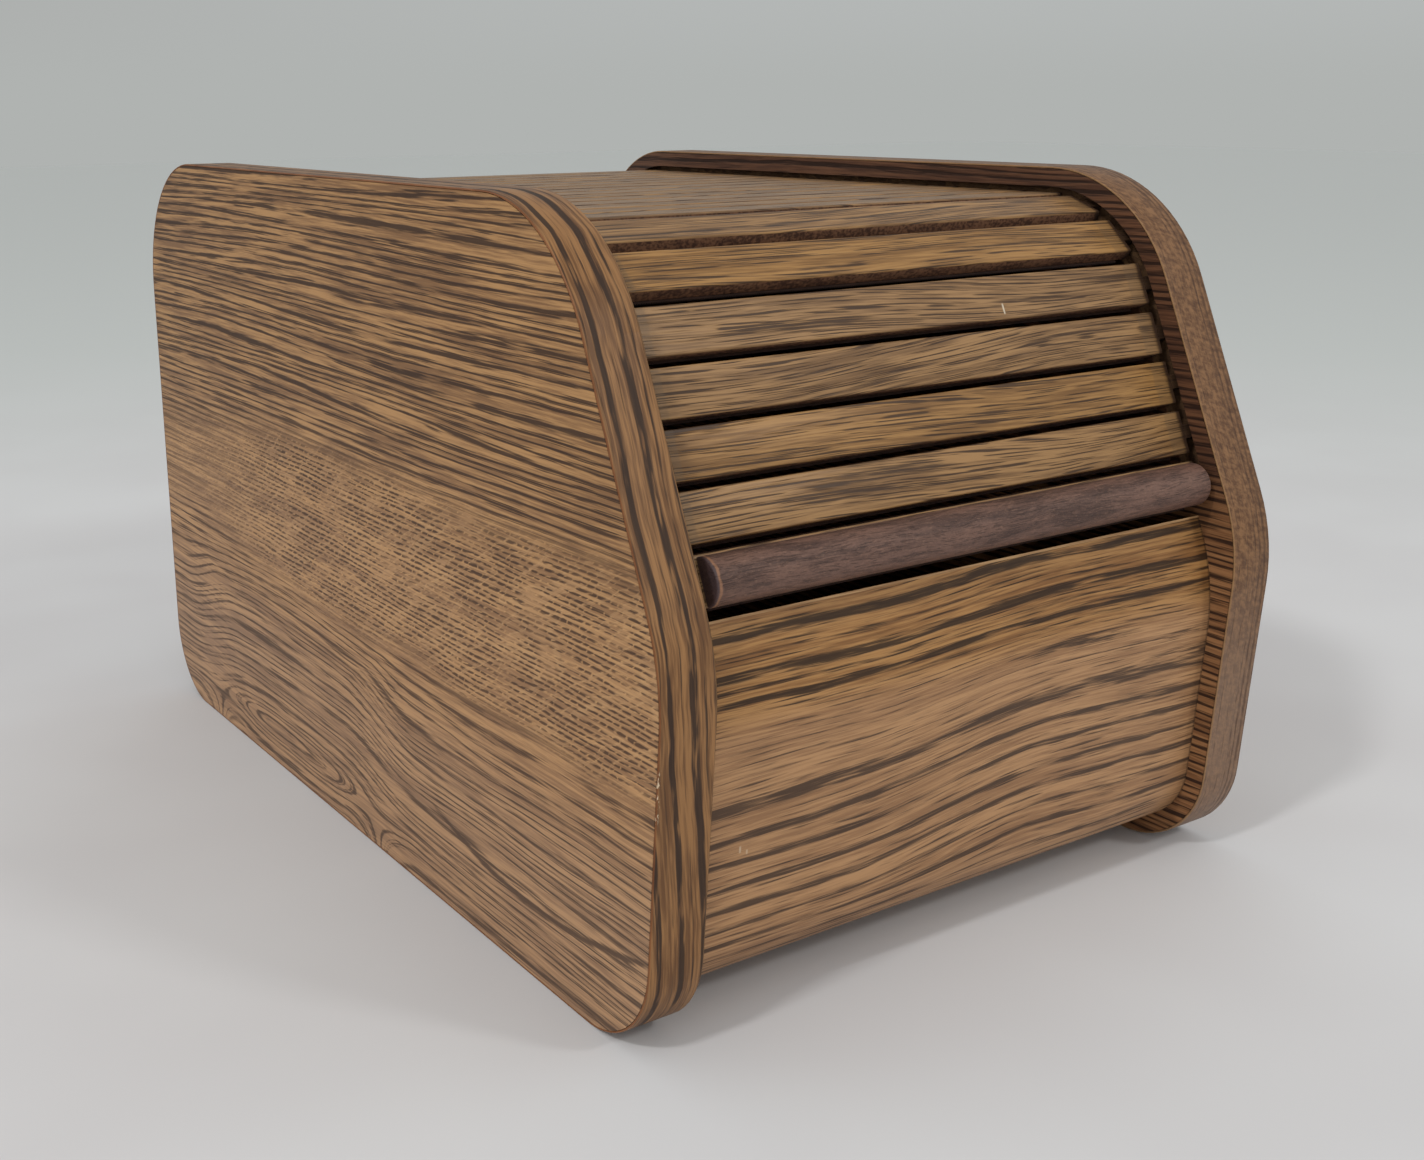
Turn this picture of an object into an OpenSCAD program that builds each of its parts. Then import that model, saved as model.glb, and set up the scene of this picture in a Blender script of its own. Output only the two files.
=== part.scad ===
// Tambour lid box: two rounded veneered side boards, a bent front panel, a fixed bottom and back,
// and a slatted lid that runs in a routed groove over the slanted front, the top and down the back.
// The side outline is one rounded five-corner shape; every other curve is that shape set inward.

/* [Case] */
// Height of the side boards
side_h = 250; // [200:1:320]
// Depth from the nose corner to the back
side_d = 416; // [340:1:480]
// Thickness of one finished side board
side_t = 19.4; // [15:0.1:25]
// Clear width between the side boards
inner_w = 225; // [180:1:320]
// How far the top front corner lies behind the nose corner
brow_setback = 54.5; // [30:0.5:80]
// Height of the nose corner above the base
nose_z = 122.5; // [90:0.5:150]
// How far the bottom front corner lies behind the nose corner
toe_setback = 10.5; // [0:0.5:20]

/* [Corner radii] */
// Bottom front corner
toe_r = 35; // [28:0.5:50]
// Nose in the middle of the front
nose_r = 69; // [40:0.5:90]
// Top front corner
brow_r = 62; // [55:0.5:75]
// Top back corner
crown_r = 58; // [52:0.5:75]
// Bottom back corner
heel_r = 33; // [25:0.5:45]

/* [Veneers] */
// Face veneer on the boards
veneer_t = 0.7; // [0.5:0.1:1]
// Veneer band round the edge of a side board
band_t = 0.8; // [0.5:0.1:1.2]

/* [Lid groove] */
// From the side outline in to the outer wall of the groove
groove_in = 7.5; // [6:0.1:9]
// Width of the groove
groove_w = 8; // [7:0.1:9]
// Depth of the groove into the side board
groove_depth = 6; // [5:0.1:8]
// Height of the groove's lower end above the heel curve
groove_foot = 6; // [4:0.5:20]
// Play left for the lead slat at its stop
stop_gap = 0.3; // [0.1:0.05:1]

/* [Slats] */
// Distance from slat to slat along the canvas
pitch = 18.5; // [18:0.05:19]
// Width of one slat
slat_w = 15.5; // [14:0.1:16]
// Thickness of one slat
slat_t = 5; // [4:0.1:5.5]
// Eased long edges on the face of a slat
slat_ease = 0.4; // [0.2:0.05:0.8]
// Gap from a slat's shoulder to the side board
slat_end_gap = 0.6; // [0.3:0.05:1.5]
// Play left between a tongue's end and the floor of the groove
tongue_end_gap = 0.3; // [0.15:0.05:1]
// Width of the tongue along the groove
tongue_w = 5; // [3:0.1:6]
// Thickness of the tongue
tongue_t = 3.2; // [2.5:0.1:3.6]
// How far the tongue lies below the face of the slat
tongue_drop = 0.3; // [0.1:0.05:0.6]
// From the nose corner up the slant to the middle of the lead slat
lead_s = 25.2; // [24:0.1:30]

/* [Canvas] */
// Thickness of the canvas behind the slats
canvas_t = 0.6; // [0.3:0.05:0.8]
// Split between two pieces of canvas on different bodies
canvas_split = 1.5; // [1:0.05:2]
// From the side board in to the edge of the canvas
canvas_inset = 5.5; // [3:0.1:12]

/* [Pull] */
// Radius of the half round pull
pull_r = 7.6; // [6:0.1:9]
// Gap from the pull to the left side board
pull_gap_left = 7; // [2:0.1:10]
// Gap from the pull to the right side board
pull_gap_right = 3; // [2:0.1:10]
// How far the middle of the pull lies below the middle of the lead slat
pull_drop = 0.5; // [0:0.1:1.5]
// Rounding of the pull's ends
pull_end_r = 0.8; // [0.5:0.1:5]

/* [Panels] */
// From the side outline in to the face of the front panel
front_in = 7.7; // [5:0.1:9]
// Thickness of the front panel with its veneer
front_t = 9; // [8:0.1:12]
// Height where the front panel starts to lean back
bend_z = 88; // [70:0.5:100]
// Radius of the front panel's lean
bend_r = 80; // [60:1:180]
// Height left between the front panel and the lead slat
front_gap = 9; // [8:0.5:14]
// Length of the front panel's return under the box
return_len = 15; // [8:0.5:40]
// Veneer on the top edge of the front panel
lip_t = 0.8; // [0.5:0.1:1.5]
// Thickness of the bottom panel
bottom_t = 9; // [8:0.1:9]
// Thickness of the back panel
back_t = 9; // [8:0.1:15]
// From the side outline in to the outer face of the back panel
back_in = 20; // [19:0.1:30]
// How far the back panel rises above the foot of the top back curve
back_rise = 6; // [-40:0.5:8]

/* [Dowels] */
// Dowel diameter
dowel_d = 5; // [4:0.1:6]
// Dowel length
dowel_len = 24; // [20:0.5:26]
// Room left at each end of a dowel
dowel_room = 0.5; // [0.2:0.1:1]

/* [Hidden] */
$fn = 128;
// how far an arc stands over the line that it runs into, so that the two cross cleanly
over = 0.003;
// how far the panel's leaning part is drawn past its ends before it is cut, in degrees
lean_past = 1.5;
// outline corners in the order toe, nose, brow, crown, heel, as [depth, height]
corners = [[toe_setback, 0], [0, nose_z], [brow_setback, side_h], [side_d, side_h], [side_d, 0]];
radii = [toe_r, nose_r, brow_r, crown_r, heel_r];
function unit(v) = v / norm(v);
function before(i) = unit(corners[(i + 4) % 5] - corners[i]);
function after(i) = unit(corners[(i + 1) % 5] - corners[i]);
function half_angle(i) = acos(before(i) * after(i)) / 2;
function tangent_len(i) = radii[i] / tan(half_angle(i));
function centre(i) = corners[i] + unit(before(i) + after(i)) * radii[i] / sin(half_angle(i));
// outward normal of the straight that follows corner i
function out_normal(i) = [-after(i)[1], after(i)[0]];
// front-to-back middle of the real outline, so that the box is centred
front_most = centre(1)[0] - nose_r;
mid_d = (front_most + side_d) / 2;
core_t = side_t - 2 * veneer_t;
groove_mid = groove_in + groove_w / 2;

// path of the canvas line, measured from the foot of the brow curve
tongue_mid = slat_t - tongue_t / 2 - tongue_drop + canvas_t / 2;
canvas_in = groove_mid + tongue_mid;
brow_arc = (brow_r - canvas_in) * (180 - 2 * half_angle(2)) * PI / 180;
top_len = side_d - brow_setback - tangent_len(2) - tangent_len(3);
crown_arc = (crown_r - canvas_in) * PI / 2;
slant_dir = after(1);
slant_deg = atan2(slant_dir[1], slant_dir[0]);
slant_out = out_normal(1);
lead_u = lead_s + tangent_len(2) - norm(corners[2] - corners[1]);
u_top = brow_arc;
u_crown = u_top + top_len;
u_back = u_crown + crown_arc;
// direction of travel at path length u, in degrees above level
function path_deg(u) = u < 0 ? slant_deg
    : u < u_top ? slant_deg - u / (brow_r - canvas_in) * 180 / PI
    : u < u_crown ? 0
    : u < u_back ? -(u - u_crown) / (crown_r - canvas_in) * 180 / PI
    : -90;
// point of the canvas line at path length u
function path_at(u) = u < 0 ? centre(2) + slant_out * (brow_r - canvas_in) + slant_dir * u
    : u < u_top ? centre(2) + (brow_r - canvas_in) * [-sin(path_deg(u)), cos(path_deg(u))]
    : u < u_crown ? [centre(2)[0] + u - u_top, side_h - canvas_in]
    : u < u_back ? centre(3) + (crown_r - canvas_in) * [-sin(path_deg(u)), cos(path_deg(u))]
    : [side_d - canvas_in, centre(3)[1] - (u - u_back)];
function slat_u(k) = lead_u + k * pitch;
groove_start = lead_u - tongue_w / 2
    + sqrt(pow(groove_w / 2 - stop_gap, 2) - pow(tongue_t / 2, 2));
groove_end_z = heel_r + groove_foot;

// front panel: foot of the lean on the face line, and the centre of the lean
front_dir = after(0);
front_out = out_normal(0);
front_len = norm(corners[1] - corners[0]);
lean_s = (bend_z + front_in * front_out[1]) / front_dir[1];
lean_foot = corners[0] - front_in * front_out + front_dir * lean_s;
lean_centre = lean_foot - bend_r * front_out;
lean_deg = 360 + atan2(front_out[1], front_out[0]);
// the lean ends under the lead slat, with room for the lip
front_top = nose_z + (lead_s - slat_w / 2) * slant_dir[1] - front_gap - lip_t;
top_deg = 180 - asin((front_top - lean_centre[1]) / bend_r);
back_top = side_h - crown_r + back_rise;
panel_end = centre(0)[0] + return_len;
back_face = side_d - back_in;
slat_len = inner_w - 2 * slat_end_gap;
tongue_reach = inner_w + 2 * (groove_depth - tongue_end_gap);
hole_len = dowel_len + 2 * dowel_room;
// dowel positions as [depth, height]: front panel, bottom panel, back panel
front_dowel_in = front_in + front_t / 2;
function front_spot(s) = corners[0] - front_dowel_in * front_out + front_dir * s;
dowel_spots = [
    front_spot(side_h * 0.2),
    front_spot(side_h * 0.3),
    [side_d * 0.22, front_in + bottom_t / 2],
    [side_d * 0.5, front_in + bottom_t / 2],
    [side_d * 0.78, front_in + bottom_t / 2],
    [back_face - back_t / 2, side_h * 0.22],
    [back_face - back_t / 2, side_h * 0.62]
];

walnut = [0.30, 0.16, 0.11];
rosewood = [0.55, 0.37, 0.20];
ply = [0.70, 0.55, 0.36];
canvas_col = [0.25, 0.15, 0.10];
beech = [0.80, 0.65, 0.45];

// draws a [depth, height] shape w wide along X, starting at x
module along_x(x, w) {
    translate([x, -mid_d, 0])
    rotate([90, 0, 90])
    linear_extrude(height = w)
    children();
}

// the side outline set inward by o: a polygon through the tangent points and a circle in each corner
module outline(o) {
    polygon([for (i = [4 : -1 : 0]) each [
        centre(i) + (radii[i] - o) * out_normal(i),
        centre(i) + (radii[i] - o) * out_normal((i + 4) % 5)
    ]]);
    for (i = [0 : 4]) {
        translate(centre(i))
        circle(r = radii[i] - o + over);
    }
}

// middle of the groove's lower end on the slant
function groove_start_at() = centre(2) + slant_out * (brow_r - groove_mid) + slant_dir * groove_start;

// part of the outline ring that the lid uses: slant, top and back
module groove_window() {
    foot = groove_start_at();
    polygon([
        foot - slant_out * brow_r / 2,
        [side_d / 2, side_h / 2],
        [side_d - crown_r / 2, groove_end_z],
        [side_d + crown_r, groove_end_z],
        corners[3] + [crown_r, crown_r],
        corners[2] + [-brow_r, brow_r],
        foot + slant_out * brow_r / 2
    ]);
}

module groove_2d() {
    intersection() {
        difference() {
            outline(groove_in);
            outline(groove_in + groove_w);
        }
        groove_window();
    }
    for (p = [groove_start_at(), [side_d - groove_mid, groove_end_z]]) {
        translate(p)
        circle(r = groove_w / 2 + over);
    }
}

// all dowel holes that enter one side board, on the left
module side_holes() {
    for (p = dowel_spots) {
        along_x(-inner_w / 2 - hole_len / 2, hole_len)
        translate(p)
        circle(d = dowel_d, $fn = 48);
    }
}

// all dowel holes of the panels, on both sides
module panel_holes() {
    side_holes();
    mirror([1, 0, 0])
    side_holes();
}

module side_core() {
    color(ply)
    difference() {
        along_x(-inner_w / 2 - side_t + veneer_t, core_t)
        outline(band_t);
        along_x(-inner_w / 2 - groove_depth, groove_depth + 1)
        groove_2d();
        side_holes();
    }
}

module side_outer_veneer() {
    color(rosewood)
    along_x(-inner_w / 2 - side_t, veneer_t)
    outline(band_t);
}

module side_inner_veneer() {
    color(rosewood)
    difference() {
        along_x(-inner_w / 2 - veneer_t, veneer_t)
        outline(band_t);
        along_x(-inner_w / 2 - 1, 2)
        groove_2d();
        side_holes();
    }
}

module side_edge_band() {
    color(rosewood * 1.1)
    along_x(-inner_w / 2 - side_t, side_t)
    difference() {
        outline(0);
        outline(band_t);
    }
}

module left_core() {
    side_core();
}

module left_outer_veneer() {
    side_outer_veneer();
}

module left_inner_veneer() {
    side_inner_veneer();
}

module left_edge_band() {
    side_edge_band();
}

module right_core() {
    mirror([1, 0, 0])
    side_core();
}

module right_outer_veneer() {
    mirror([1, 0, 0])
    side_outer_veneer();
}

module right_inner_veneer() {
    mirror([1, 0, 0])
    side_inner_veneer();
}

module right_edge_band() {
    mirror([1, 0, 0])
    side_edge_band();
}

// all that lies behind the front panel's curve set back by o: toe, straight part and lean
module behind_front(o) {
    toe_c = centre(0);
    r = bend_r - o + over;
    low = top_deg - lean_past;
    high = lean_deg + lean_past;
    polygon([
        [toe_c[0], front_in + o],
        [lean_centre[0], front_in + o],
        lean_centre,
        lean_foot - o * front_out,
        toe_c + (toe_r - front_in - o) * front_out
    ]);
    translate(toe_c)
    circle(r = toe_r - front_in - o + over);
    translate(lean_centre)
    intersection() {
        circle(r = r);
        polygon([
            [0, 0],
            2 * r * [cos(low), sin(low)],
            2 * r * [cos(high), sin(high)]
        ]);
    }
}

// layer of the bent front panel, from depth a to depth b behind its face
module front_layer(a, b) {
    intersection() {
        difference() {
            behind_front(a);
            behind_front(b);
        }
        polygon([
            [-side_t, -side_t],
            [panel_end, -side_t],
            [panel_end, centre(0)[1]],
            lean_centre,
            lean_centre + 2 * bend_r * [cos(top_deg), sin(top_deg)]
        ]);
    }
}

module front_panel() {
    color(ply)
    difference() {
        along_x(-inner_w / 2, inner_w)
        front_layer(veneer_t, front_t);
        panel_holes();
    }
}

module front_veneer() {
    color(rosewood)
    along_x(-inner_w / 2, inner_w)
    front_layer(0, veneer_t);
}

module front_lip() {
    color(rosewood * 1.1)
    along_x(-inner_w / 2, inner_w)
    translate(lean_centre)
    rotate(top_deg)
    translate([bend_r - front_t, -lip_t])
    square([front_t, lip_t]);
}

module bottom_panel() {
    color(ply)
    difference() {
        along_x(-inner_w / 2, inner_w)
        translate([panel_end, front_in])
        square([back_face - panel_end, bottom_t]);
        panel_holes();
    }
}

module back_panel() {
    color(ply)
    difference() {
        along_x(-inner_w / 2, inner_w)
        translate([back_face - back_t, front_in + bottom_t])
        square([back_t, back_top - front_in - bottom_t]);
        panel_holes();
    }
}

module dowels() {
    color(beech)
    for (m = [0, 1]) {
        mirror([m, 0, 0])
        for (p = dowel_spots) {
            along_x(-inner_w / 2 - dowel_len / 2, dowel_len)
            translate(p)
            circle(d = dowel_d, $fn = 48);
        }
    }
}

// moves a shape built on the canvas line to path length u: Y runs along the lid, Z outward
module on_path(u) {
    translate([0, path_at(u)[0] - mid_d, path_at(u)[1]])
    rotate([path_deg(u), 0, 0])
    children();
}

// one slat with a tongue at each end
module slat(k) {
    low = canvas_t / 2;
    high = low + slat_t;
    color(rosewood * (0.95 + 0.1 * (k % 3) / 2))
    on_path(slat_u(k)) {
        translate([-slat_len / 2, 0, 0])
        rotate([90, 0, 90])
        linear_extrude(height = slat_len)
        polygon([
            [-slat_w / 2, low],
            [slat_w / 2, low],
            [slat_w / 2, high - slat_ease],
            [slat_w / 2 - slat_ease, high],
            [-slat_w / 2 + slat_ease, high],
            [-slat_w / 2, high - slat_ease]
        ]);
        translate([-tongue_reach / 2, -tongue_w / 2, high - tongue_drop - tongue_t])
        cube([tongue_reach, tongue_w, tongue_t]);
    }
}

// corner points of the strip of canvas behind slats a to b, on the side f (1 outward, -1 inward)
function canvas_side(a, b, f) = [
    for (k = [a : b])
        for (e = [-1, 1])
            if ((k == a && e < 0) || (k == b && e > 0)
                || path_deg(slat_u(k)) != path_deg(slat_u(k + e)))
                let (
                    d = path_deg(slat_u(k)),
                    half = (k == a && e < 0) || (k == b && e > 0) ? (pitch - canvas_split) / 2 : slat_w / 2
                )
                path_at(slat_u(k)) + e * half * [cos(d), sin(d)] + f * canvas_t / 2 * [-sin(d), cos(d)]
];

// canvas behind the slats from number a to number b, which move together:
// flat behind each slat and bent in the gaps between them
module canvas(a, b) {
    low = canvas_side(a, b, -1);
    high = canvas_side(a, b, 1);
    color(canvas_col)
    along_x(-inner_w / 2 + canvas_inset, inner_w - 2 * canvas_inset)
    polygon([each low, for (i = [len(high) - 1 : -1 : 0]) high[i]]);
}

// half round bar with eased ends, glued to the face of the lead slat
module pull() {
    half = (inner_w - pull_gap_left - pull_gap_right) / 2;
    color(walnut)
    on_path(slat_u(0))
    translate([(pull_gap_left - pull_gap_right) / 2, -pull_drop, canvas_t / 2 + slat_t])
    intersection() {
        rotate([0, 90, 0])
        rotate_extrude($fn = 96) {
            translate([0, -half])
            square([pull_r - pull_end_r, 2 * half]);
            translate([0, -half + pull_end_r])
            square([pull_r, 2 * half - 2 * pull_end_r]);
            for (s = [-1, 1]) {
                translate([pull_r - pull_end_r, s * (half - pull_end_r)])
                circle(r = pull_end_r, $fn = 48);
            }
        }
        translate([-half - 1, -pull_r - 1, 0])
        cube([2 * half + 2, 2 * pull_r + 2, pull_r + 1]);
    }
}

left_core();
left_outer_veneer();
left_inner_veneer();
left_edge_band();
right_core();
right_outer_veneer();
right_inner_veneer();
right_edge_band();
front_panel();
front_veneer();
front_lip();
bottom_panel();
back_panel();
dowels();
pull();
slat(0);  // slat_00
slat(1);  // slat_01
slat(2);  // slat_02
slat(3);  // slat_03
slat(4);  // slat_04
slat(5);  // slat_05
slat(6);  // slat_06
slat(7);  // slat_07
slat(8);  // slat_08
slat(9);  // slat_09
slat(10);  // slat_10
slat(11);  // slat_11
slat(12);  // slat_12
slat(13);  // slat_13
slat(14);  // slat_14
slat(15);  // slat_15
slat(16);  // slat_16
slat(17);  // slat_17
slat(18);  // slat_18
slat(19);  // slat_19
slat(20);  // slat_20
slat(21);  // slat_21
slat(22);  // slat_22
slat(23);  // slat_23
slat(24);  // slat_24
slat(25);  // slat_25
canvas(0, 0);  // canvas_00
canvas(1, 1);  // canvas_01
canvas(2, 2);  // canvas_02
canvas(3, 3);  // canvas_03
canvas(4, 4);  // canvas_04
canvas(5, 5);  // canvas_05
canvas(6, 6);  // canvas_06
canvas(7, 17);  // canvas_top
canvas(18, 18);  // canvas_18
canvas(19, 19);  // canvas_19
canvas(20, 20);  // canvas_20
canvas(21, 21);  // canvas_21
canvas(22, 22);  // canvas_22
canvas(23, 23);  // canvas_23
canvas(24, 24);  // canvas_24
canvas(25, 25);  // canvas_25
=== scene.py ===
# Tambour lid box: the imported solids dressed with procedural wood, soft arrises and a plain pale studio.
import math

import bpy
from mathutils import Matrix, Vector

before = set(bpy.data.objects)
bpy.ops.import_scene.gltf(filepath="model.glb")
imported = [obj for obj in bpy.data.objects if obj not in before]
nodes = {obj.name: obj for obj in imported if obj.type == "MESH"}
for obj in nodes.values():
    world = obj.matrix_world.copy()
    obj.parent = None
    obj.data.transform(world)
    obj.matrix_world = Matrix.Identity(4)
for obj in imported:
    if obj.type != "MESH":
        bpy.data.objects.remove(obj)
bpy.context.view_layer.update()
scene = bpy.context.scene
scene.view_settings.view_transform = "Standard"

MM = 0.001               # metres in a millimetre
TO_MM = 1000.0           # and the other way


def span(name, axis):
    """Lowest and highest place of a node along an axis, 0 to 2, in millimetres."""
    places = [v.co[axis] * TO_MM for v in nodes[name].data.vertices]
    return min(places), max(places)


HALF_IN, HALF_OUT = span("right_edge_band", 0)  # inner and outer face of a side board, from the middle
BAND_W = HALF_OUT - HALF_IN
TOE_R = 27.3  # face radius of the front panel's toe
TOE = (-165.98, span("front_veneer", 2)[0] + TOE_R)  # centre of the toe curve as (y, z)

# Dark lines as (place, half width, strength) in millimetres, in groups that each fit one ramp:
# up the front panel's face from its foot, and across the veneer band of each side board
FRONT_LINES = (
    ((1.0, 0.8, 0.7), (8.0, 0.8, 0.75), (14.5, 0.8, 0.8), (20.5, 0.8, 0.85), (27.0, 0.9, 0.95),
     (33.0, 0.8, 0.8), (39.5, 0.9, 1.0)),
    ((46.5, 0.9, 1.0), (54.5, 1.0, 1.0), (62.5, 1.2, 1.0), (72.5, 2.1, 0.95), (105.0, 1.2, 1.0)),
    ((109.4, 0.6, 0.8), (113.4, 1.4, 1.0), (119.0, 0.4, 0.7), (124.2, 1.3, 1.0), (101.5, 0.4, 0.5)),
)
LEFT_BAND_LINES = (
    ((-10.5, 0.7, 0.8), (-4.5, 0.9, 0.95), (3.6, 0.9, 1.0), (11.6, 1.2, 1.0)),
    ((7.6, 0.25, 0.5), (15.6, 0.4, 0.6), (19.0, 0.5, 0.6), (0.6, 0.3, 0.5)),
)
RIGHT_BAND_LINES = ((2.6, 0.3, 0.5), (7.4, 0.2, 0.4), (11.4, 0.3, 0.5), (13.8, 0.45, 0.8),
                    (16.4, 0.55, 0.85), (18.4, 0.3, 0.6))
# Small light marks on the front panel, as (x, z, width, height)
FRONT_TICKS = ((-95.5, 58.6, 0.35, 1.2), (-92.9, 57.2, 0.3, 0.8))


# ---------------------------------------------------------------- node nets

class Net:
    """One node material, or the world's. Numbers and values mix freely in its sums."""

    def __init__(self, name, holder=None):
        self.mat = holder or bpy.data.materials.new(name)
        self.mat.use_nodes = True
        self.tree = self.mat.node_tree
        self.tree.nodes.clear()

    def node(self, kind, **settings):
        made = self.tree.nodes.new(kind)
        for key, value in settings.items():
            setattr(made, key, value)
        return made

    def feed(self, socket, value):
        if isinstance(value, Val):
            self.tree.links.new(value.socket, socket)
        else:
            socket.default_value = value

    def math(self, op, *args):
        made = self.node("ShaderNodeMath", operation=op)
        for socket, value in zip(made.inputs, args):
            self.feed(socket, value)
        return Val(self, made.outputs[0])

    def vec(self, x, y, z):
        made = self.node("ShaderNodeCombineXYZ")
        for socket, value in zip(made.inputs, (x, y, z)):
            self.feed(socket, value)
        return Val(self, made.outputs[0])

    def split(self, socket):
        made = self.node("ShaderNodeSeparateXYZ")
        self.tree.links.new(socket, made.inputs[0])
        return [Val(self, out) for out in made.outputs]

    def place(self):
        """x, y and z of the surface in millimetres, in the row frame at rest."""
        coord = self.node("ShaderNodeTexCoord")
        scaled = self.node("ShaderNodeVectorMath", operation="SCALE")
        self.tree.links.new(coord.outputs["Object"], scaled.inputs[0])
        scaled.inputs["Scale"].default_value = TO_MM
        self.spot = Val(self, scaled.outputs[0])
        return self.split(scaled.outputs[0])

    def prop(self, name, part="Fac"):
        made = self.node("ShaderNodeAttribute", attribute_type="OBJECT", attribute_name=name)
        return Val(self, made.outputs[part])

    def dot(self, a, b):
        made = self.node("ShaderNodeVectorMath", operation="DOT_PRODUCT")
        self.feed(made.inputs[0], a)
        self.feed(made.inputs[1], b)
        return Val(self, made.outputs["Value"])

    def noise(self, x, y, z=0.0, detail=2.0, rough=0.5):
        made = self.node("ShaderNodeTexNoise")
        self.feed(made.inputs["Vector"], self.vec(x, y, z))
        made.inputs["Scale"].default_value = 1.0
        made.inputs["Detail"].default_value = detail
        made.inputs["Roughness"].default_value = rough
        return Val(self, made.outputs["Fac"])

    def sway(self, x, y, z, size, detail=2.0):
        """Noise about zero, whose usual reach is a quarter of size."""
        return (self.noise(x, y, z, detail=detail) - 0.5) * size

    def ease(self, value, low, high, at_low=0.0, at_high=1.0):
        made = self.node("ShaderNodeMapRange", interpolation_type="SMOOTHSTEP")
        for key, item in (("Value", value), ("From Min", low), ("From Max", high),
                          ("To Min", at_low), ("To Max", at_high)):
            self.feed(made.inputs[key], item)
        return Val(self, made.outputs["Result"])

    def bands(self, value, low, high, marks):
        """Lines across value, as (place, half width, strength), through one ramp of at most 32 stops."""
        made = self.node("ShaderNodeValToRGB")
        ramp = made.color_ramp
        ramp.interpolation = "EASE"
        stops = {0.0: 0.0, 1.0: 0.0}
        for at, half, strength in marks:
            for step, level in ((-1.6, 0.0), (-0.6, strength), (0.6, strength), (1.6, 0.0)):
                place = (at + step * half - low) / (high - low)
                if 0.0 < place < 1.0:
                    stops[place] = max(level, stops.get(place, 0.0))
        places = sorted(stops)
        ramp.elements[0].position, ramp.elements[1].position = places[0], places[-1]
        for place in places[1:-1]:
            ramp.elements.new(place)
        for element, place in zip(ramp.elements, places):
            element.color = (stops[place],) * 3 + (1.0,)
        self.feed(made.inputs["Fac"], (value - low) / (high - low))
        return Val(self, made.outputs["Color"])

    def most(self, *values):
        top = values[0]
        for value in values[1:]:
            top = self.math("MAXIMUM", top, value)
        return top

    def mix(self, share, a, b):
        """Colour a where share is 0, colour b where it is 1."""
        made = self.node("ShaderNodeMix", data_type="RGBA")
        for index, value in ((0, share), (6, a), (7, b)):  # the factor and the two colour sockets
            self.feed(made.inputs[index], value)
        return Val(self, made.outputs[2])

    def finish(self, colour, rough, height=None, depth=0.1, specular=0.5, sheen=0.0):
        shader = self.node("ShaderNodeBsdfPrincipled")
        self.feed(shader.inputs["Base Color"], colour)
        self.feed(shader.inputs["Roughness"], rough)
        shader.inputs["Specular IOR Level"].default_value = specular
        shader.inputs["Sheen Weight"].default_value = sheen
        if height is not None:
            bump = self.node("ShaderNodeBump")
            bump.inputs["Strength"].default_value = 1.0
            bump.inputs["Distance"].default_value = depth * MM
            self.feed(bump.inputs["Height"], height)
            self.tree.links.new(bump.outputs[0], shader.inputs["Normal"])
        out = self.node("ShaderNodeOutputMaterial")
        self.tree.links.new(shader.outputs[0], out.inputs[0])
        return self.mat


class Val:
    """A value in a net, with plain sums."""

    def __init__(self, net, socket):
        self.net, self.socket = net, socket

    def __add__(self, other):
        return self.net.math("ADD", self, other)

    def __sub__(self, other):
        return self.net.math("SUBTRACT", self, other)

    def __rsub__(self, other):
        return self.net.math("SUBTRACT", other, self)

    def __mul__(self, other):
        return self.net.math("MULTIPLY", self, other)

    def __truediv__(self, other):
        return self.net.math("DIVIDE", self, other)

    def abs(self):
        return self.net.math("ABSOLUTE", self)

    __radd__ = __add__


def rgb(r, g, b):
    """A colour written as on screen, 0 to 255, as the linear colour that the nodes take."""
    def one(v):
        v /= 255.0
        return v / 12.92 if v <= 0.04045 else ((v + 0.055) / 1.055) ** 2.4
    return (one(r), one(g), one(b), 1.0)


# ---------------------------------------------------------------- wood figure

def strokes(net, along, lane, seed, length=20.0, width=0.7):
    """Pore strokes along the grain, about zero."""
    return net.noise(along / length, lane / width, seed, detail=2.0, rough=0.6) - 0.5


def lines(net, along, p, seed, thin=0.03, thick=0.24, length=48.0, gone=0.38, full=0.58, least=0.15):
    """Soft dark lines, one where p passes each whole number, each fading in and out along its run."""
    core = net.ease(net.math("PINGPONG", p, 0.5), thin, thick, 1.0, 0.0)
    return core * net.ease(net.noise(along / length, p, seed, detail=1.0), gone, full, least, 1.0)


def pored(net, share, stroke, reach=0.36, low=0.02, high=0.36, rough=1.0):
    """Dark strokes: a few everywhere, and close together where the share is high."""
    return net.ease(stroke * rough + share * reach, low, high)


def ground(net, along, lane, seed, light, mid, span=1.0):
    """Plain wood between the lines: slow change of tone with fine fibres over it. Gives colour and fibre."""
    tone = net.noise(along / (110 * span), lane / (8 * span), seed, detail=2.0, rough=0.6)
    fibre = net.noise(along / 28, lane / 0.9, seed + 0.7, detail=3.0, rough=0.65)
    return net.mix(net.ease(tone * 0.4 + fibre * 0.6, 0.39, 0.61), light, mid), fibre


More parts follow.
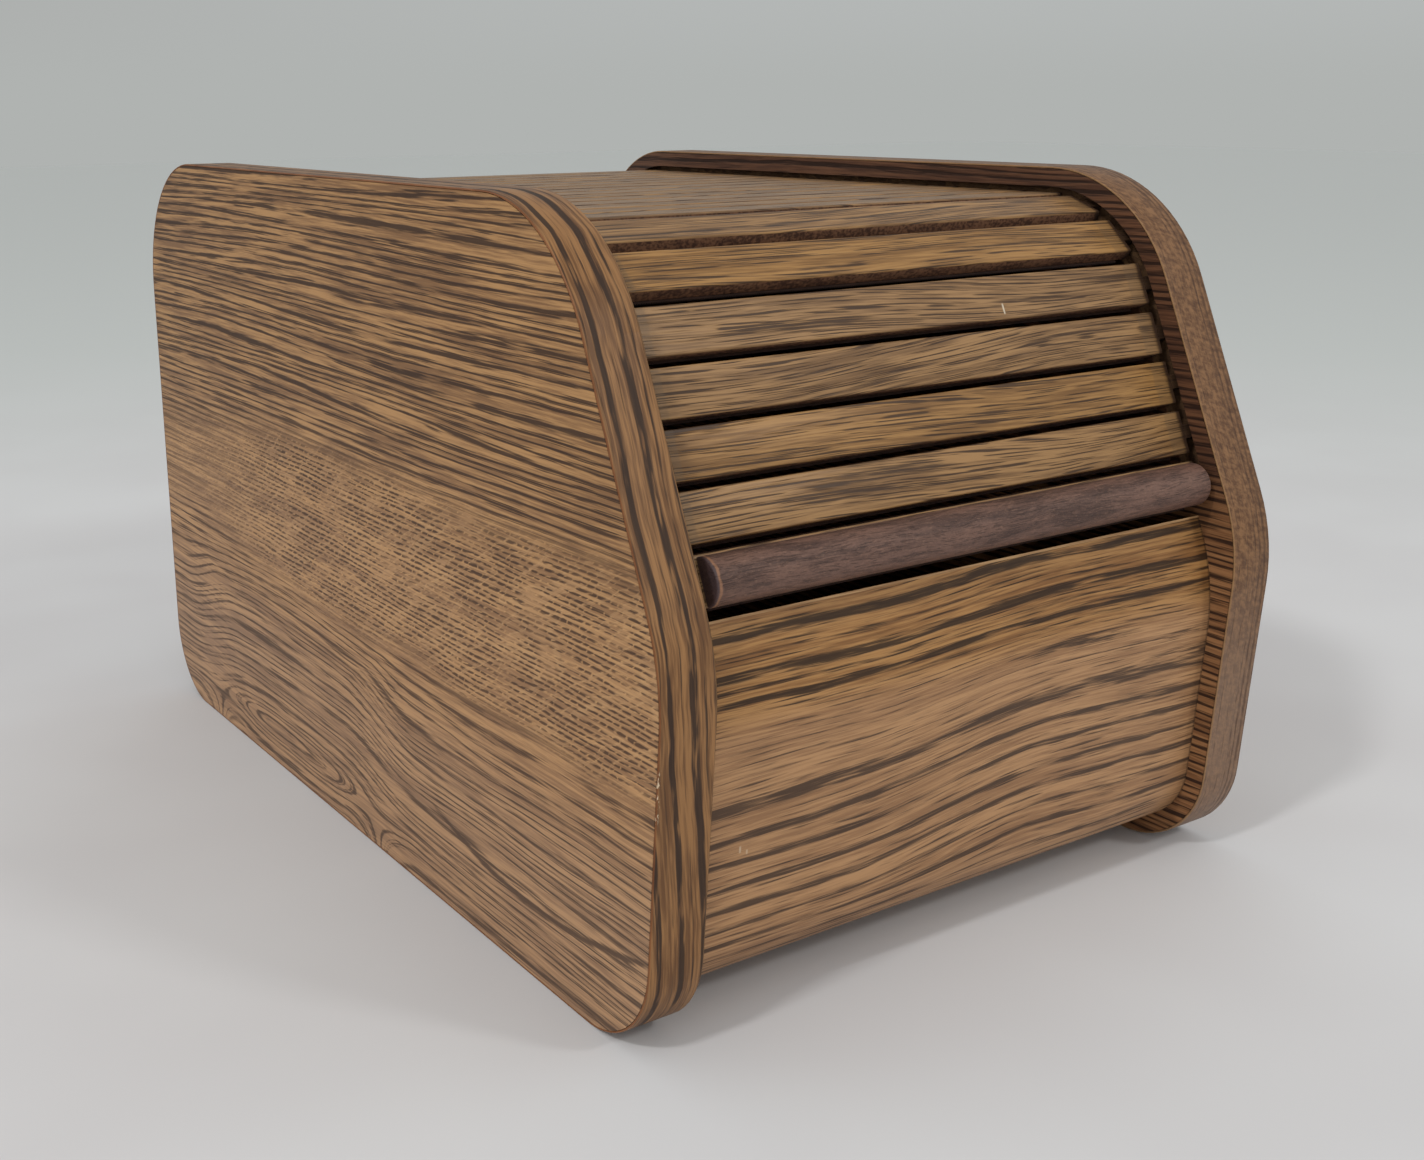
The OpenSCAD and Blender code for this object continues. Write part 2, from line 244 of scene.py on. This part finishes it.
def side_face(name, seed, loops, sweep):
    """Face veneer of a side board: straight lines above, a belt of dashes and ray flecks, loops below."""
    net = Net(name)
    x, y, z = net.place()
    zz = z + net.sway(y / 260, z / 90, seed, 5.0, detail=0.0) + \
        net.sway(y / 40, z / 14, seed + 2.0, 0.8, detail=1.0)
    low = net.ease(z, 58.0, 92.0, 1.0, 0.0)
    # away from the loops' middle the lanes are level; near it they close into flat rings
    reach = (y - loops[0]).abs()
    away = net.ease(reach, 0.0, 110.0, 0.0, 11.0)
    high = zz - loops[1] + net.sway(y / 70, z / 22, seed + 3.0, 3.0, detail=0.0) * low
    ring = net.math("SQRT", high * high + away * away)
    level = net.most(net.ease(reach, 55.0, 120.0), 1.0 - low)
    ring = ring * (1.0 - level) + (away * low + high) * level
    edge = net.sway(y / 70, z / 30, seed + 4.0, 22.0)
    rear = net.ease(y, 60.0, 170.0, 0.0, 9.0)
    belt = net.ease(zz + edge, 80.0 + rear, 92.0 + rear) * \
        net.ease(zz + edge, 138.0 - rear, 156.0 - rear, 1.0, 0.0) * net.ease(y, 40.0, 190.0, 1.0, 0.35)
    stroke = strokes(net, y, zz, seed + 6.0)

    p = ring / 3.1 + net.sway(y / 260, ring / 8, seed + 5.0, 2.6, detail=0.0)
    main = lines(net, y, p, seed + 8.0, thick=0.26, length=60.0, gone=0.32, full=0.50, least=0.3)
    second = lines(net, y, p * 2.0 + 0.5, seed + 8.5, thick=0.3, length=40.0, gone=0.4, full=0.6, least=0.0)
    # one bold wavy streak low at the front
    run = (y - sweep[0]) / 62
    off = zz - (run * run * 8.0 + sweep[1])
    bold = net.ease((off + net.sway(y / 12, 0.0, seed, 1.4)).abs(), 0.0, 2.4, 1.0, 0.0) * \
        net.ease(y - sweep[0], -72.0, -60.0) * net.ease(y - sweep[0], 50.0, 84.0, 1.0, 0.0)
    soft = net.ease(z, 76.0, 120.0, 0.76, 1.0)
    drawn = pored(net, net.most(main * soft, second * soft * 0.75, bold * 0.95), stroke,
                  reach=0.42, low=0.06, high=0.34, rough=0.7)

    # the belt's lines are cut into grains on the slant of the rays
    slant = y * 0.46 + z * 0.89 + net.sway(y / 16, z / 16, seed + 13.0, 5.0, detail=1.0)
    grain_line = net.ease(net.math("PINGPONG", zz / 2.0 + net.sway(y / 60, z / 9, seed + 12.0, 1.8), 0.5),
                          0.0, 0.40, 1.0, 0.0)
    part = net.math("PINGPONG", y / 5.2 + z / 2.9 + net.sway(y / 8, z / 5, seed + 10.0, 2.2), 0.5)
    gap = net.ease(part, 0.0, 0.26, 0.42, 1.0)
    patchy = net.ease(net.noise(y / 22, z / 12, seed + 11.0, detail=1.0), 0.34, 0.56, 0.5, 1.0)
    short = strokes(net, y, zz, seed + 16.0, length=8.0, width=0.75)
    dash = pored(net, grain_line * gap * patchy, short, reach=0.44, low=0.05, rough=0.8)
    # smooth ray bands rise to the front, pale at their margins
    ray = (net.noise((z * 0.45 - y * 0.89) / 60, slant / 6.5, seed + 15.0, detail=0.0) - 0.5).abs()
    fleck = net.ease(ray, 0.020, 0.050, 1.0, 0.0) * belt * \
        net.ease(net.noise(y / 26, z / 10, seed + 17.0), 0.42, 0.56)
    margin = net.ease((ray - 0.060).abs(), 0.008, 0.024, 1.0, 0.0) * belt * (1.0 - fleck)

    share = net.most(drawn * (1.0 - belt), dash * belt) * (1.0 - fleck * 0.55)
    upper = net.ease(z, 100.0, 185.0)
    lower = net.ease(z, 40.0, 90.0, 1.0, 0.0)
    light = net.mix(lower, net.mix(upper, rgb(188, 144, 98), rgb(180, 136, 87)), rgb(184, 144, 106))
    mid = net.mix(lower, net.mix(upper, rgb(146, 108, 74), rgb(128, 91, 56)), rgb(146, 112, 84))
    dark = net.mix(lower, net.mix(upper, rgb(76, 52, 36), rgb(56, 34, 21)), rgb(82, 62, 49))
    base, fibre = ground(net, y, zz, seed + 18.0, light, mid)
    base = net.mix(grain_line * (1.0 - gap) * belt * 0.5, base, rgb(204, 160, 110))
    base = net.mix(fleck * 0.4, base, rgb(186, 144, 101))
    base = net.mix(margin * 0.25, base, rgb(208, 166, 118))
    colour = net.mix(share * 0.92, base, dark)
    height = (fibre - 0.5) * 0.5 - share + fleck * 0.4
    return net.finish(colour, share * 0.12 + 0.44, height, depth=0.10, specular=0.26)


def front_face():
    """Face veneer of the front panel: bold dark bands above, finer lines that rise right of the middle."""
    net = Net("front_veneer_wood")
    x, y, z = net.place()
    # length along the face: the height, then round the toe
    turn = net.math("ARCTAN2", TOE[1] - z, TOE[0] - y)
    below = TOE[1] - turn * TOE_R
    s = z + (below - z) * net.math("LESS_THAN", z, TOE[1])
    step = net.ease(x, -52.0, 34.0) - net.ease(x, 30.0, 118.0, 0.0, 0.32)
    lift = step * net.ease(s, 12.0, 46.0, 1.0, 8.6) * net.ease(s, 84.0, 106.0, 1.0, 0.38)
    lane = s - lift + net.sway(x / 90, s / 26, 4.0, 3.2, detail=0.0) + \
        net.sway(x / 30, s / 8, 6.0, 0.8, detail=1.0)
    core = net.most(*(net.bands(lane, -20.0, 130.0, group) for group in FRONT_LINES))
    # broad smoky patches right of the middle
    smoke = net.ease(net.noise(x / 34, s / 3.0, 21.3, detail=3.0, rough=0.6), 0.42, 0.60) * \
        net.ease(x, 8.0, 34.0) * net.most(
            net.ease((s - 97.0).abs(), 0.5, 4.0, 1.0, 0.0) * net.ease(x, 60.0, 84.0, 1.0, 0.0),
            net.ease((s - 81.0).abs(), 1.0, 5.5, 1.0, 0.0) * net.ease(x, 44.0, 74.0),
            net.ease((s - 90.0).abs(), 0.5, 2.4, 1.0, 0.0) * net.ease(x, 55.0, 80.0))
    stroke = strokes(net, x, lane, 13.0)
    upper = net.ease(s, 92.0, 106.0)
    fade = net.ease(net.noise(x / 46, lane / 3.0, 9.0, detail=1.0), 0.34, 0.54, 0.4, 1.0)
    p = lane / 2.0 + net.sway(x / 160, lane / 6, 10.0, 2.2, detail=0.0)
    fine = lines(net, x, p, 11.0, thick=0.30, length=34.0, gone=0.40, full=0.62, least=0.1)
    share = pored(net, net.most(core * fade, fine * (upper * 0.2 + 0.62), smoke * 0.8), stroke,
                  reach=0.38, low=0.04, rough=0.9)
    light = net.mix(upper, rgb(184, 142, 101), rgb(172, 128, 78))
    mid = net.mix(upper, rgb(150, 112, 79), rgb(128, 88, 50))
    base, fibre = ground(net, x, lane, 18.0, light, mid)
    dark = net.mix(upper, rgb(66, 50, 41), rgb(40, 26, 18))
    colour = net.mix(share * 0.9, base, dark)
    for at, up, wide, tall in FRONT_TICKS:
        tick = net.ease((x - at).abs(), wide * 0.5, wide * 1.5, 1.0, 0.0) * \
            net.ease((z - up).abs(), tall * 0.6, tall * 1.2, 0.6, 0.0)
        colour = net.mix(tick, colour, rgb(206, 186, 160))
    # shaded seam against the side boards
    seam = net.ease(x.abs(), HALF_IN - 1.2, HALF_IN - 0.3)
    colour = net.mix(seam * 0.5, colour, rgb(44, 28, 22))
    return net.finish(colour, share * 0.12 + 0.44, (fibre - 0.5) * 0.5 - share, depth=0.10, specular=0.28)


def slat_wood():
    """Slats: golden veneer on the face, each with its own figure, over a dark speckled core."""
    net = Net("slat_wood")
    x, y, z = net.place()
    t = net.prop("lie", "Vector")
    seed = net.prop("seed")
    v = net.dot(net.spot, t) - net.prop("mid")
    deep = net.prop("top") - net.dot(net.spot, net.prop("face", "Vector"))
    lane = v + x * net.prop("slant") + net.sway(x / 130, v / 36, seed + 30.0, 11.0, detail=0.0) + \
        net.sway(x / 36, v / 9, seed + 31.0, 0.7, detail=1.0)
    stroke = strokes(net, x, lane, seed + 1.0, length=26.0, width=0.5)
    p = lane / 2.6 + net.sway(x / 170, lane / 7, seed + 2.0, 2.6, detail=0.0)
    main = lines(net, x, p, seed + 3.0, thin=0.0, thick=0.22, length=28.0, gone=0.42, full=0.62, least=0.05)
    fine = lines(net, x, p * 2.3 + 0.3, seed + 4.0, thick=0.30, length=24.0, gone=0.40, full=0.62, least=0.05)
    smoky = net.ease(net.noise(x / 70, lane / 3.2, seed + 7.0, detail=1.0), 0.54, 0.74)
    share = pored(net, net.most(main, fine * 0.8, smoky * 0.55), stroke,
                  reach=0.38, low=0.07, high=0.28, rough=0.85)
    shade = net.prop("shade")
    light = net.mix(shade, rgb(166, 125, 74), rgb(158, 123, 84))
    mid = net.mix(shade, rgb(122, 87, 48), rgb(116, 87, 58))
    base, fibre = ground(net, x, lane, seed + 6.0, light, mid, span=0.6)
    face = net.mix(share * 0.9, base, rgb(58, 38, 25))
    # a small light tick in one slat
    tick = net.ease((x - 39.3).abs(), 0.2, 0.5, 1.0, 0.0) * net.ease((z - 206.3).abs(), 1.2, 2.0, 1.0, 0.0)
    face = net.mix(tick * net.math("LESS_THAN", y, -110.0), face, rgb(205, 192, 170))
    # greyer stretch near each end, then a dark end beside the board: partly dark stain, partly painted shade
    # of the groove
    rough_x = x.abs() + net.sway(x * 0.3, v * 0.25, seed, 1.0)
    face = net.mix(net.ease(rough_x, HALF_IN - 9.9, HALF_IN - 8.7) * 0.3, face, rgb(104, 86, 66))
    end = net.ease(rough_x, HALF_IN - 3.1, HALF_IN - 1.7)
    face = net.mix(end * 0.86, face, rgb(60, 43, 35))
    speck = net.noise(x / 1.3, v / 1.0, deep / 1.1 + seed, detail=3.0, rough=0.7)
    cloud = net.noise(x / 14, v / 6, deep / 4 + seed, detail=2.0)
    core = net.mix(net.ease(speck * 0.7 + cloud * 0.3, 0.40, 0.60), rgb(122, 86, 62), rgb(70, 45, 33))
    # the core of the tongue inside the groove is painted nearly black as painted shade
    core = net.mix(end * 0.8, core, rgb(34, 23, 18))
    colour = net.mix(net.ease(deep, 0.55, 0.75), face, core)
    rough = net.ease(deep, 0.5, 0.8, 0.42, 0.8)
    return net.finish(colour, rough, (fibre - 0.5) * 0.5 - share, depth=0.08, specular=0.34)


def inner_face(name, seed):
    """Inner face veneer of a side board: close dark level lines on reddish wood."""
    net = Net(name)
    x, y, z = net.place()
    lane = z + net.sway(y / 180, z / 40, seed, 6.0, detail=0.0) + \
        net.sway(y / 30, z / 12, seed + 2.0, 0.7, detail=1.0)
    p = lane / 3.1 + net.sway(y / 180, lane / 9, seed + 5.0, 2.2, detail=0.0)
    stroke = strokes(net, y, lane, seed + 6.0)
    main = lines(net, y, p, seed + 8.0, thin=0.08, thick=0.30, gone=0.30, full=0.50, least=0.3)
    second = lines(net, y, p * 2.0 + 0.5, seed + 9.0, thick=0.3, gone=0.44, full=0.6, least=0.0)
    share = pored(net, net.most(main, second * 0.55), stroke)
    above = net.ease(z, 128.0, 150.0)
    light = net.mix(above, rgb(160, 116, 78), rgb(110, 75, 53))
    mid = net.mix(above, rgb(124, 85, 56), rgb(80, 52, 38))
    base, fibre = ground(net, y, lane, seed + 10.0, light, mid)
    colour = net.mix(share * 0.93, base, rgb(42, 25, 18))
    return net.finish(colour, share * 0.1 + 0.5, (fibre - 0.5) * 0.4 - share, depth=0.08, specular=0.25)


def left_band_wood():
    """Veneer band of the left board: two fuzzy dark stripes that wander across it down the slant."""
    net = Net("left_band_wood")
    x, y, z = net.place()
    w = HALF_OUT - x.abs()  # across the band, from the outer arris
    flow = w + net.sway(y / 44, z / 44, 3.0, 4.0) + net.sway(y / 12, z / 12, 4.0, 0.6)
    flow = flow - net.ease(z, 10.0, 122.0, 9.0, 0.0)
    core = net.most(*(net.bands(flow, -14.0, 26.0, group) for group in LEFT_BAND_LINES))
    stroke = net.noise(y / 22, z / 22, flow / 0.7, detail=2.0, rough=0.6) - 0.5
    fade = net.ease(net.noise(y / 18, z / 18, w / 2.5, detail=2.0), 0.32, 0.54, 0.35, 1.0)
    share = pored(net, core * fade, stroke, reach=0.44, low=0.04, high=0.38, rough=0.7)
    fibre = net.noise(y / 18, z / 18, flow / 0.8 + 9.0, detail=2.0, rough=0.6)
    tone = net.noise(y / 60, z / 60, w / 5.0 + 2.0, detail=2.0)
    base = net.mix(net.ease(tone * 0.4 + fibre * 0.6, 0.39, 0.61), rgb(152, 111, 70), rgb(106, 73, 45))
    colour = net.mix(share * 0.9, base, rgb(48, 34, 27))
    # fine warm line at the outer arris, paler inner arris, and small chips below the nose
    outer = net.ease(w, 0.12, 0.42, 1.0, 0.0)
    inner = net.ease(w, BAND_W - 0.5, BAND_W - 0.15)
    chip = net.ease(net.noise(y * 0.9, z * 0.5, w * 2.2, detail=2.0), 0.56, 0.60) * \
        net.ease(w, 0.5, 1.1, 1.0, 0.0) * net.ease((z - 88.0).abs(), 5.0, 10.0, 1.0, 0.0) * \
        net.math("LESS_THAN", y, -150.0)
    colour = net.mix(outer * 0.7, colour, rgb(134, 80, 44))
    colour = net.mix(inner * 0.55, colour, rgb(172, 134, 92))
    colour = net.mix(chip * 0.9, colour, rgb(216, 196, 166))
    return net.finish(colour, share * 0.1 + 0.46, (fibre - 0.5) * 0.4 - share, depth=0.08, specular=0.28)


def right_band_wood():
    """Veneer band of the right board: mottled brown with fine dark lines near the outer arris."""
    net = Net("right_band_wood")
    x, y, z = net.place()
    w = x.abs() - HALF_IN  # across the band, from the inner arris
    flow = w + net.sway(y / 60, z / 60, 8.0, 2.4) + net.sway(y / 8, z / 8, 4.0, 0.6)
    core = net.bands(flow, -8.0, 28.0, RIGHT_BAND_LINES)
    stroke = net.noise(y / 6, z / 6, w / 0.7, detail=2.0, rough=0.6) - 0.5
    # curly mottle: short ripples that lie across the grain
    along = y * 0.39 + z * 0.92
    curl = net.noise(along / 1.7 + w * 0.2, w / 2.6, y * 0.05, detail=3.0, rough=0.65)
    fibre = net.noise(y / 9, z / 9, w / 0.7 + 9.0, detail=2.0, rough=0.6)
    base = net.mix(net.ease(curl * 0.7 + fibre * 0.3, 0.36, 0.64), rgb(138, 101, 68), rgb(94, 64, 42))
    # painted reflection: the lower part of the band is painted paler and greyer as reflected sheen
    pale = net.ease(z, 60.0, 125.0, 1.0, 0.0)
    base = net.mix(pale * 0.45, base, rgb(144, 120, 102))
    share = pored(net, core, stroke)
    colour = net.mix(share * 0.6, base, rgb(66, 43, 31))
    outer = net.ease(w, BAND_W - 0.5, BAND_W - 0.15)
    inner = net.ease(w, 0.1, 0.45, 1.0, 0.0)
    colour = net.mix(outer * 0.6, colour, rgb(54, 37, 29))
    colour = net.mix(inner * 0.6, colour, rgb(168, 132, 92))
    return net.finish(colour, share * 0.1 + 0.46, (fibre - 0.5) * 0.4 - share, depth=0.08, specular=0.28)


def pull_wood(left_end):
    """Walnut pull: dull brown, rough sawn and rubbed paler in places, with a dark end grain face given a
    purplish painted sheen and a painted highlight on its arris.
    """
    net = Net("pull_walnut")
    x, y, z = net.place()
    v = y * 0.39 + z * 0.92
    d = y * 0.92 - z * 0.39
    lane = v + net.sway(x / 40, v / 12, 3.0, 4.0)
    tone = net.noise(x / 30, lane / 3.2, d / 5.0 + 3.0, detail=3.0, rough=0.6)
    fibre = net.noise(x / 9, lane / 0.34, d / 0.5, detail=4.0, rough=0.7)
    speck = net.noise(x / 1.2, lane / 0.6, d / 0.8, detail=3.0, rough=0.7)
    pore = net.ease(net.noise(x / 5.0, lane / 0.4, d + 9.0, detail=1.0), 0.56, 0.66)
    base = net.mix(net.ease(tone, 0.38, 0.64), rgb(112, 82, 70), rgb(80, 56, 48))
    base = net.mix(net.ease(fibre * 0.5 + speck * 0.5, 0.50, 0.64) * 0.4, base, rgb(146, 112, 92))
    base = net.mix(net.ease(fibre * 0.5 + speck * 0.5, 0.48, 0.38) * 0.45, base, rgb(60, 41, 36))
    base = net.mix(pore * 0.45, base, rgb(50, 34, 30))
    # the sawn end grain is darker, with a purplish painted sheen, and a painted highlight along its arris
    end = net.ease(x - left_end, 0.5, 0.9, 1.0, 0.0)
    arris_highlight = net.ease((x - left_end - 1.1 + net.sway(v * 0.4, d * 0.4, 1.0, 1.6)).abs(), 0.2, 0.8, 1.0, 0.0)
    base = net.mix(arris_highlight * 0.7, base, rgb(156, 112, 82))
    base = net.mix(end * 0.75, base, rgb(76, 62, 66))
    height = (fibre - 0.5) * 0.6 + speck * 0.5 - pore * 0.7
    return net.finish(base, tone * 0.2 + 0.42, height, depth=0.16, specular=0.45)


def lip_wood(front_edge):
    """Veneer on the panel's top edge: pale at its front arris and near its right end, with painted shadow
    nearly black behind it.
    """
    net = Net("lip_wood")
    x, y, z = net.place()
    deep = y - front_edge + net.sway(x / 7, 0.0, 2.0, 0.7)
    fibre = net.noise(x / 22, y / 0.5, z / 0.5, detail=3.0, rough=0.65)
    pale = net.mix(net.ease(fibre, 0.4, 0.6), rgb(188, 150, 106), rgb(150, 112, 74))
    # pale where the light reaches, at the front arris and near the right end; elsewhere the top edge gets
    # painted shadow, nearly black
    right_end = net.ease(x + net.sway(x * 0.3, y * 0.6, 5.0, 8.0), 101.0, 106.0)
    unshaded = net.most(net.ease(deep, 0.5, 1.3, 1.0, 0.0), right_end * net.ease(deep, 3.0, 5.5, 0.9, 0.0))
    colour = net.mix(unshaded, net.mix(fibre, rgb(40, 28, 22), rgb(24, 17, 14)), pale)
    return net.finish(colour, 0.55, fibre, depth=0.05, specular=0.3)


def plain_wood(name, light, mid, dark, seed):
    """Quiet wood for the panels inside and the dowels."""
    net = Net(name)
    x, y, z = net.place()
    across = y + z
    lane = across + net.sway(x / 90, across / 30, seed, 8.0)
    base, fibre = ground(net, x, lane, seed, light, mid)
    hair = lines(net, x, lane / 4.0, seed + 2.0, gone=0.4, full=0.6, least=0.1)
    colour = net.mix(hair * 0.2, base, dark)
    return net.finish(colour, 0.6, (fibre - 0.5) * 0.5 - hair, depth=0.08, specular=0.3)


def board_core():
    """Board core, seen only in the groove: pressed chips."""
    net = Net("board_core_chips")
    x, y, z = net.place()
    chip = net.node("ShaderNodeTexVoronoi", feature="F1")
    net.feed(chip.inputs["Vector"], net.vec(x / 1.6, y / 4.0, z / 2.2))
    chip.inputs["Scale"].default_value = 1.0
    shade = net.node("ShaderNodeSeparateColor")
    net.tree.links.new(chip.outputs["Color"], shade.inputs[0])
    tone = Val(net, shade.outputs[0])
    dust = net.noise(x / 0.7, y / 0.7, z / 0.7, detail=3.0)
    colour = net.mix(tone, rgb(112, 84, 58), rgb(78, 56, 40))
    colour = net.mix(net.ease(dust, 0.5, 0.7) * 0.4, colour, rgb(52, 36, 26))
    return net.finish(colour, 0.85, tone * 0.4 + dust, depth=0.15, specular=0.2)


def canvas_cloth():
    """Dark canvas behind the slats: a plain weave."""
    net = Net("canvas_weave")
    x, y, z = net.place()
    weave = net.math("SINE", x * 7.0) * net.math("SINE", (y * 0.6 + z * 0.8) * 7.0)
    soil = net.noise(x / 9, y / 9, z / 9, detail=4.0, rough=0.7)
    colour = net.mix(net.ease(soil, 0.3, 0.7), rgb(52, 34, 27), rgb(32, 21, 18))
    colour = net.mix(net.ease(weave, -1.0, 1.0) * 0.3, colour, rgb(70, 48, 38))
    return net.finish(colour, 0.9, weave * 0.5 + soil, depth=0.12, specular=0.15, sheen=0.05)


# ---------------------------------------------------------------- dress the nodes

def dress(name, material):
    slots = nodes[name].data.materials
    slots.clear()
    slots.append(material)


def soften(name, width, segments, angle):
    """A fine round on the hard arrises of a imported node, whose mesh stays as it is."""
    piece = nodes[name]
    piece.modifiers.new("weld", "WELD").merge_threshold = 0.01 * MM
    bevel = piece.modifiers.new("arris", "BEVEL")
    bevel.width = width * MM
    bevel.segments = segments
    bevel.limit_method = "ANGLE"
    bevel.angle_limit = math.radians(angle)
    bevel.harden_normals = False
    bevel.use_clamp_overlap = True


dress("left_outer_veneer", side_face("left_face_wood", 11.0, (68.0, 17.0), (-134.0, 26.0)))
dress("right_outer_veneer", side_face("right_face_wood", 47.0, (-20.0, 24.0), (110.0, 34.0)))
dress("left_inner_veneer", inner_face("left_inner_wood", 71.0))
dress("right_inner_veneer", inner_face("right_inner_wood", 83.0))
dress("left_edge_band", left_band_wood())
dress("right_edge_band", right_band_wood())
for side in ("left", "right"):
    dress(side + "_core", board_core())
    soften(side + "_edge_band", 0.55, 3, 50.0)
dress("front_veneer", front_face())
dress("front_lip", lip_wood(span("front_lip", 1)[0]))
inside = plain_wood("panel_ply", rgb(150, 116, 80), rgb(122, 90, 62), rgb(80, 56, 38), 33.0)
for name in ("front_panel", "bottom_panel", "back_panel"):
    dress(name, inside)
dress("dowels", plain_wood("dowel_wood", rgb(206, 176, 132), rgb(184, 150, 106), rgb(140, 106, 70), 90.0))
dress("pull", pull_wood(span("pull", 0)[0]))
cloth = canvas_cloth()
slats = slat_wood()
inner_point = Vector((0.0, 0.0, 100 * MM))  # inside the box: a slat's face looks away from it
for name, piece in nodes.items():
    if name.startswith("canvas"):
        dress(name, cloth)
    if name.startswith("slat_"):
        dress(name, slats)
        mesh = piece.data
        flat = max(mesh.polygons, key=lambda p: p.area)  # the slat's face, or its back
        face = flat.normal.copy()
        centre = sum((v.co for v in mesh.vertices), Vector()) / len(mesh.vertices)
        if face.dot(centre - inner_point) < 0:
            face.negate()
        lie = Vector((1, 0, 0)).cross(face)
        reach = [v.co.dot(face) * TO_MM for v in mesh.vertices]
        spread = [v.co.dot(lie) * TO_MM for v in mesh.vertices]
        k = int(name[5:])
        piece["face"] = list(face)
        piece["lie"] = list(lie)
        piece["top"] = max(reach)
        piece["mid"] = (max(spread) + min(spread)) / 2
        # a figure, slope and tone of its own for each slat
        piece["seed"] = 100.0 + 17.3 * k
        piece["slant"] = 0.035 * math.sin(2.4 * k + 0.7)
        piece["shade"] = 0.5 + 0.5 * math.sin(1.9 * k + 1.1)
        soften(name, 0.3, 2, 30.0)


# ---------------------------------------------------------------- studio

FLOOR_SIZE = 14.0
LAMP_FAR = 2.4
LAMP_COLOUR = (1.0, 0.985, 0.96)
BOX_MIDDLE = Vector((0, 0, 0.12))


def pale_floor():
    """Pale floor that darkens a little with distance, so that it meets the backdrop without a line."""
    net = Net("floor_pale")
    x, y, z = net.place()
    soft = net.noise(x / 160, y / 160, 2.0, detail=2.0)
    near = net.mix(net.ease(soft, 0.3, 0.7), rgb(217, 219, 222), rgb(212, 213, 216))
    far = net.ease(net.math("SQRT", x * x + y * y), 300.0, 1500.0)
    return net.finish(net.mix(far, near, rgb(205, 211, 211)), 0.9, specular=0.1)


bpy.ops.mesh.primitive_plane_add(size=FLOOR_SIZE, location=(0, 0, 0))
floor = bpy.context.object
floor.name = "floor"
floor.data.materials.append(pale_floor())

world = bpy.data.worlds.new("studio")
scene.world = world
sky = Net("studio", world)
aim = sky.split(sky.node("ShaderNodeTexCoord").outputs["Generated"])
backdrop = sky.node("ShaderNodeBackground")
above = sky.mix(sky.ease(aim[0], -0.1, 0.7), rgb(170, 172, 170), rgb(180, 183, 182))
sky.feed(backdrop.inputs["Color"], sky.mix(sky.ease(aim[2], 0.0, 0.06), rgb(176, 179, 177), above))
soft_light = sky.node("ShaderNodeBackground")
sky.feed(soft_light.inputs["Color"], rgb(255, 253, 250))
sky.feed(soft_light.inputs["Strength"], sky.ease(aim[2], 0.0, 0.9, 0.92, 0.62))
path = sky.node("ShaderNodeLightPath")
seen = sky.most(Val(sky, path.outputs["Is Camera Ray"]), Val(sky, path.outputs["Is Glossy Ray"]))
both = sky.node("ShaderNodeMixShader")
sky.feed(both.inputs[0], seen)
sky.tree.links.new(soft_light.outputs[0], both.inputs[1])
sky.tree.links.new(backdrop.outputs[0], both.inputs[2])
sky.tree.links.new(both.outputs[0], sky.node("ShaderNodeOutputWorld").inputs[0])


def lamp(name, toward, size, power):
    """A square lamp LAMP_FAR from the box's middle, in the direction toward, aimed at it."""
    light = bpy.data.lights.new(name, "AREA")
    light.shape = "SQUARE"
    light.size = size
    light.energy = power
    light.color = LAMP_COLOUR
    held = bpy.data.objects.new(name, light)
    scene.collection.objects.link(held)
    back = Vector(toward).normalized()
    spot = BOX_MIDDLE + back * LAMP_FAR
    held.matrix_world = Matrix.Translation(spot) @ back.to_track_quat("Z", "Y").to_matrix().to_4x4()


lamp("from_left", (-0.64, -0.24, 0.73), 0.22, 13.0)
lamp("from_right_front", (0.36, -0.78, 0.62), 0.25, 8.0)


# ---------------------------------------------------------------- camera

# axes and place of the camera, fitted to the photo's corners
right = Vector((0.827050, -0.562093, -0.006344))
down = Vector((-0.130751, -0.181384, -0.974681))
ahead = Vector((0.546711, 0.806939, -0.223508))
eye = Vector((-0.37269, -0.56350, 0.27680))
lens = bpy.data.cameras.new("camera")
lens.sensor_width = 36.0
lens.lens = 42.34
lens.shift_x = 0.0364
lens.shift_y = -0.0699
lens.clip_start = 0.01
camera = bpy.data.objects.new("camera", lens)
scene.collection.objects.link(camera)
turn = Matrix((right, -down, -ahead)).transposed().to_4x4()
camera.matrix_world = Matrix.Translation(eye) @ turn
scene.camera = camera
